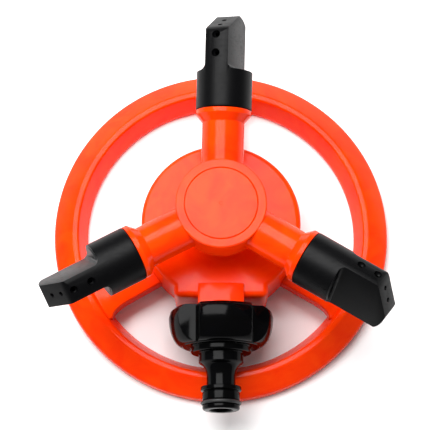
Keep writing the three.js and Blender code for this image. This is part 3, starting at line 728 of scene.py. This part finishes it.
def planOutline():
    # the blade from above: its thickness, flaring into the round body through a hollow fillet
    size = nozzleSizes
    half = size["blade"] / 2
    hollow = size["fillet"]
    lap = size["filletLap"]
    wide = size["radius"] + past
    foot = size["bodyEnd"] - lap
    side = [(size["bodyEnd"] - size["bladeStart"], wide), (foot, wide), (foot, half + hollow + lap)]
    for degrees in range(0, 91, 15):
        angle = math.radians(degrees)
        u = size["bodyEnd"] + hollow - hollow * math.cos(angle) - lap
        side.append((u, half + hollow - hollow * math.sin(angle)))
    side.append((size["tipEnd"] + past, half))
    return side + [(u, -y) for u, y in reversed(side)]


def nozzleJets():
    size = nozzleSizes
    radius = size["radius"]
    jets = []
    for place in size["topJets"]:
        jet = spun([
            (0, radius - size["jetLow"]),
            (size["jetBore"], radius - size["jetLow"]),
            (size["jetBore"], radius - size["jetDepth"] - size["jetCone"]),
            (size["jetMouth"] - size["jetMouthTaper"], radius - size["jetDepth"]),
            (size["jetMouth"], radius - size["jetRim"]),
            (size["jetMouth"], radius + past),
            (0, radius + past),
        ], 32)
        jets.append(turnedTo(jet, shift=(place, 0, 0)))
    run = size["tipEnd"] - size["topEnd"]
    fall = radius + size["tipDrop"]
    lean = Matrix.Rotation(math.radians(90) - math.atan2(run, fall), 4, "Y")
    for share in size["endJets"]:
        mouth = size["jetBore"] + size["endJetRim"]
        jet = spun([
            (0, size["endJetLow"]),
            (size["jetBore"], size["endJetLow"]),
            (size["jetBore"], size["endJetCone"]),
            (mouth, size["endJetMouth"]),
            (mouth, past),
            (0, past),
        ], 28)
        jets.append(turnedTo(jet, lean, (size["topEnd"] + share * run, 0, radius - share * fall)))
    return jets


def makeNozzle(index, materials):
    size = nozzleSizes
    radius = size["radius"]
    lie = Matrix.Rotation(math.radians(90), 4, "Y")
    upright = Matrix.Rotation(math.radians(90), 4, "X")
    body = turnedTo(spun([
        (0, size["gap"]),
        (radius - size["mouthTaper"], size["gap"], size["mouthRound"]),
        (radius, size["gap"] + size["taperLength"]),
        (radius, size["bodyEnd"], size["shoulder"]),
        (0, size["bodyEnd"]),
    ], size["turnSteps"]), lie)
    barrel = turnedTo(rod(radius, 4, size["reach"], size["turnSteps"]), lie)
    side = turnedTo(prism(sideOutline(0), -size["half"], size["half"]), upright)
    plan = prism(planOutline(), -size["half"], size["half"])
    blade = combined(combined(barrel, side, "INTERSECT"), plan, "INTERSECT")
    rimStart = (size["bodyEnd"] + size["bladeRimFrom"]) * mm
    rim = [
        edge for edge in sharpEdges(blade, size["sharp"])
        if min(vert.co.x for vert in edge.verts) > rimStart
    ]
    bevelEdges(blade, rim, size["bladeRound"], 3)
    whole = joined(body, blade)

    grooveStart = size["grooveEnd"] - size["grooveLength"]
    spigot = turnedTo(spun([
        (0, -size["spigotLength"]),
        (size["spigot"], -size["spigotLength"], size["spigotRound"]),
        (size["spigot"], grooveStart),
        (size["groove"], grooveStart),
        (size["groove"], size["grooveEnd"]),
        (size["spigot"], size["grooveEnd"]),
        (size["spigot"], size["spigotEnd"]),
        (0, size["spigotEnd"]),
    ], 64), lie)
    whole = joined(whole, spigot)

    bore = turnedTo(rod(size["bore"], -size["spigotLength"] - past, size["boreEnd"], 40), lie)
    chamberRadius = radius - size["chamberGap"]
    chamberEnd = size["bodyEnd"] - size["wall"]
    chamber = turnedTo(spun([
        (0, size["chamberStart"]),
        (chamberRadius, size["chamberStart"], size["chamberRound"]),
        (chamberRadius, chamberEnd, size["chamberEndRound"]),
        (0, chamberEnd),
    ], 56), lie)
    inner = turnedTo(rod(radius - size["wall"], size["slotStart"], size["reach"], 64), lie)
    slotHalf = size["blade"] / 2 - size["wall"]
    slot = turnedTo(prism(sideOutline(size["wall"]), -slotHalf, slotHalf), upright)
    whole = carved(whole, bore, chamber, combined(slot, inner, "INTERSECT"), *nozzleJets())

    rest = Matrix.Rotation(math.radians(size["restTurns"][index]), 4, "X")
    mouth = Matrix.Translation(Vector((rotorSizes["mouth"], 0, 0)) * mm)
    turnedTo(whole, armTurn(ringSizes["spokes"][index]) @ mouth @ rest, (0, 0, rotorSizes["armHeight"]))
    number = index + 1
    finished(
        f"nozzleShell{number}", whole, materials["satinBlack"], f"nozzle_{number}",
        [f"nozzle_{number}"])


connectorSizes = {
    "start": 37.4, "nutEnd": 54.2, "nut": 17, "nutBackRound": 1, "nutRound": 0.9,
    "lobes": 4, "lobeBack": 22.7, "lobeFront": 16.6, "lobeHalf": 12.6, "lobeTaper": 2, "lobeTurn": -7,
    "lobeRound": 0.9, "lobeRimFrom": 0.3, "lobeSharp": 40, "bulgeFrom": 4, "bulgeEnd": 0.5, "bulgeSteps": 16,
    "backStep": 2.4, "backStepRound": 0.5, "backRise": 0.7, "backLength": 1.5, "backRound": 1,
    "frontStep": 1.2,
    "step": 13.2, "stepEnd": 56.8, "stepRound": 0.8, "stepFootRound": 0.3, "collar": 9.7, "collarEnd": 61.2,
    "taperStart": 0.4,
    "taperPull": 1.4, "taperWide": 0.2, "neck": 6.2, "neckStart": 66.8, "softRound": 0.4, "edgeRound": 0.2,
    "shoulder": 8.8, "shoulderStart": 71.4, "shoulderEnd": 73.2, "nipple": 8.1, "nippleStep": 0.5,
    "nippleStepEnd": 0.9, "nippleRound": 0.3, "tipRound": 1.2,
    "grooveStart": 77.4, "grooveWidth": 2.2, "groove": 6.9, "end": 81.6,
    "bore": 4.8, "boreFlare": 0.6, "boreFlareStart": 0.5, "boreFlareEnd": 0.1,
    "socket": 13.5, "socketFlare": 0.6, "socketFlareStart": 0.2, "socketEnd": 48,
    "threadCrest": 12.56, "threadTurns": 2.09, "threadStart": 0.8, "threadSink": 0.2,
    "sealSlack": 0.6, "sealRise": 0.3,
}


def lobeBulge():
    # the lobes' rounded outer line, from their widest point down to the front of the nut
    size = connectorSizes
    start = size["start"] + size["bulgeFrom"]
    length = size["nutEnd"] - size["bulgeEnd"] - start
    points = []
    for step in range(size["bulgeSteps"] + 1):
        angle = math.radians(90 * step / size["bulgeSteps"])
        radius = size["lobeFront"] + (size["lobeBack"] - size["lobeFront"]) * math.cos(angle)
        points.append((radius, start + length * math.sin(angle)))
    return points


def makeLobe(angle):
    size = connectorSizes
    start = size["start"]
    back = size["lobeBack"]
    body = spun([
        (0, start),
        (back - size["backStep"], start, size["backStepRound"]),
        (back - size["backRise"], start + size["backLength"], size["backRound"]),
        *lobeBulge(),
        (size["lobeFront"] - size["frontStep"], size["nutEnd"]),
        (0, size["nutEnd"]),
    ], 144)
    tip = back + past
    half = size["lobeHalf"]
    narrow = half - size["lobeTaper"]
    outline = [(0, -half), (tip, -narrow), (tip, narrow), (0, half)]
    bar = turnedTo(prism(outline, start - past, size["nutEnd"] + past), spinZ(angle))
    lobe = combined(body, bar, "INTERSECT")
    rimStart = (size["nut"] + size["lobeRimFrom"]) * mm
    rim = [
        edge for edge in sharpEdges(lobe, size["lobeSharp"])
        if min(math.hypot(vert.co.x, vert.co.y) for vert in edge.verts) > rimStart
    ]
    bevelEdges(lobe, rim, size["lobeRound"], 3)
    return lobe


def makeConnector(materials):
    size = connectorSizes
    soft = size["softRound"]
    edge = size["edgeRound"]
    grooveEnd = size["grooveStart"] + size["grooveWidth"]
    taper = curvePoints(
        (size["collar"] - size["taperStart"], size["collarEnd"]),
        (size["neck"] + size["taperWide"], size["collarEnd"] + size["taperPull"]),
        (size["neck"], size["neckStart"]), 10)
    whole = spun([
        (0, size["start"]),
        (size["nut"], size["start"], size["nutBackRound"]),
        (size["nut"], size["nutEnd"], size["nutRound"]),
        (size["step"], size["nutEnd"], size["stepFootRound"]),
        (size["step"], size["stepEnd"], size["stepRound"]),
        (size["collar"], size["stepEnd"], soft),
        (size["collar"], size["collarEnd"] - soft),
        *taper,
        (size["neck"], size["shoulderStart"], soft),
        (size["shoulder"], size["shoulderStart"], soft),
        (size["shoulder"], size["shoulderEnd"], soft),
        (size["nipple"] - size["nippleStep"], size["shoulderEnd"] + soft, edge),
        (size["nipple"], size["shoulderEnd"] + size["nippleStepEnd"], size["nippleRound"]),
        (size["nipple"], size["grooveStart"], edge),
        (size["groove"], size["grooveStart"], edge),
        (size["groove"], grooveEnd, edge),
        (size["nipple"], grooveEnd, edge),
        (size["nipple"], size["end"], size["tipRound"]),
        (0, size["end"]),
    ], 120)
    for index in range(size["lobes"]):
        whole = joined(whole, makeLobe(90 + size["lobeTurn"] + 360 / size["lobes"] * index))
    socket = spun([
        (0, size["start"] - past),
        (size["socket"] + size["socketFlare"], size["start"] - size["socketFlareStart"]),
        (size["socket"], size["start"] + size["socketFlare"]),
        (size["socket"], size["socketEnd"]),
        (0, size["socketEnd"]),
    ], 96)
    flare = size["bore"] + size["boreFlare"]
    bore = spun([
        (0, size["socketEnd"] - past),
        (size["bore"], size["socketEnd"] - past),
        (size["bore"], size["end"] - size["boreFlareStart"]),
        (flare, size["end"] + size["boreFlareEnd"]),
        (flare, size["end"] + past),
        (0, size["end"] + past),
    ], 64)
    whole = carved(whole, socket, bore)
    ridge = threadRidge(
        size["socket"] + size["threadSink"], size["threadCrest"],
        size["start"] + size["threadStart"] + hubSizes["pitch"] / 2, size["threadTurns"], hubSizes["pitch"])
    whole = joined(whole, ridge)
    finished(
        "hoseConnector", alongInlet(whole), materials["glossBlack"], "hose_connector",
        ["hose_connector"])


def makeNippleSeal(materials):
    size = connectorSizes
    cord = (size["grooveWidth"] - size["sealSlack"]) / 2
    centre = size["groove"] + size["sealRise"] + cord
    middle = size["grooveStart"] + size["grooveWidth"] / 2
    ring = [
        (centre + cord * math.cos(math.radians(a)), middle + cord * math.sin(math.radians(a)))
        for a in range(0, 360, 20)
    ]
    seal = alongInlet(spun(ring, 96, closed=True))
    finished("nippleSeal", seal, materials["rubber"], "hose_connector", ["nipple_o_ring"], 60)


smallParts = {
    "rubber": [
        "spindle_seal", "cap_seal", "nozzle_seal_1", "nozzle_seal_2", "nozzle_seal_3", "inlet_washer",
    ],
    "acetal": ["spindle", "lower_thrust_washer", "upper_thrust_washer"],
    "steel": ["hub_screw_1", "hub_screw_2", "hub_screw_3", "retaining_nut"],
}


def dressSmallParts(materials):
    # these keep their CAD shape and get a finish
    for finish, names in smallParts.items():
        for name in names:
            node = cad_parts[name]
            node.data.materials.clear()
            node.data.materials.append(materials[finish])
    print("small parts dressed")


studio = {
    "floor": 6, "paper": (0.9, 0.9, 0.9, 1), "paperRoughness": 0.9, "fill": 0.27,
    "boxSize": (1750, 1400), "boxPlace": (-450, 650, 1700), "boxWatts": 80, "boxTilt": (-20, -14),
}


def makeStudio():
    bm = bmesh.new()
    bmesh.ops.create_grid(bm, x_segments=2, y_segments=2, size=studio["floor"] / 2)
    mesh = bpy.data.meshes.new("floor")
    bm.to_mesh(mesh)
    bm.free()
    floor = bpy.data.objects.new("floor", mesh)
    bpy.context.scene.collection.objects.link(floor)
    paper = bpy.data.materials.new("paper")
    paper.use_nodes = True
    shader = paper.node_tree.nodes["Principled BSDF"]
    shader.inputs["Base Color"].default_value = studio["paper"]
    shader.inputs["Roughness"].default_value = studio["paperRoughness"]
    mesh.materials.append(paper)

    world = bpy.data.worlds.new("studio")
    world.use_nodes = True
    sky = world.node_tree.nodes["Background"]
    sky.inputs["Color"].default_value = (1, 1, 1, 1)
    sky.inputs["Strength"].default_value = studio["fill"]
    bpy.context.scene.world = world

    boxData = bpy.data.lights.new("softbox", "AREA")
    boxData.shape = "RECTANGLE"
    boxData.size = studio["boxSize"][0] * mm
    boxData.size_y = studio["boxSize"][1] * mm
    boxData.energy = studio["boxWatts"]
    softbox = bpy.data.objects.new("softbox", boxData)
    softbox.location = Vector(studio["boxPlace"]) * mm
    softbox.rotation_euler = [math.radians(turn) for turn in studio["boxTilt"]] + [0]
    bpy.context.scene.collection.objects.link(softbox)
    bpy.context.scene.view_settings.view_transform = "Standard"
    print("studio ready")


makeCamera()
finishes = makeFinishes()
makeRingBase(finishes)
makeHub(finishes)
makeRotorBody(finishes)
makeRotorCap(finishes)
for nozzleIndex in range(3):
    makeNozzle(nozzleIndex, finishes)
makeConnector(finishes)
makeNippleSeal(finishes)
dressSmallParts(finishes)
makeStudio()
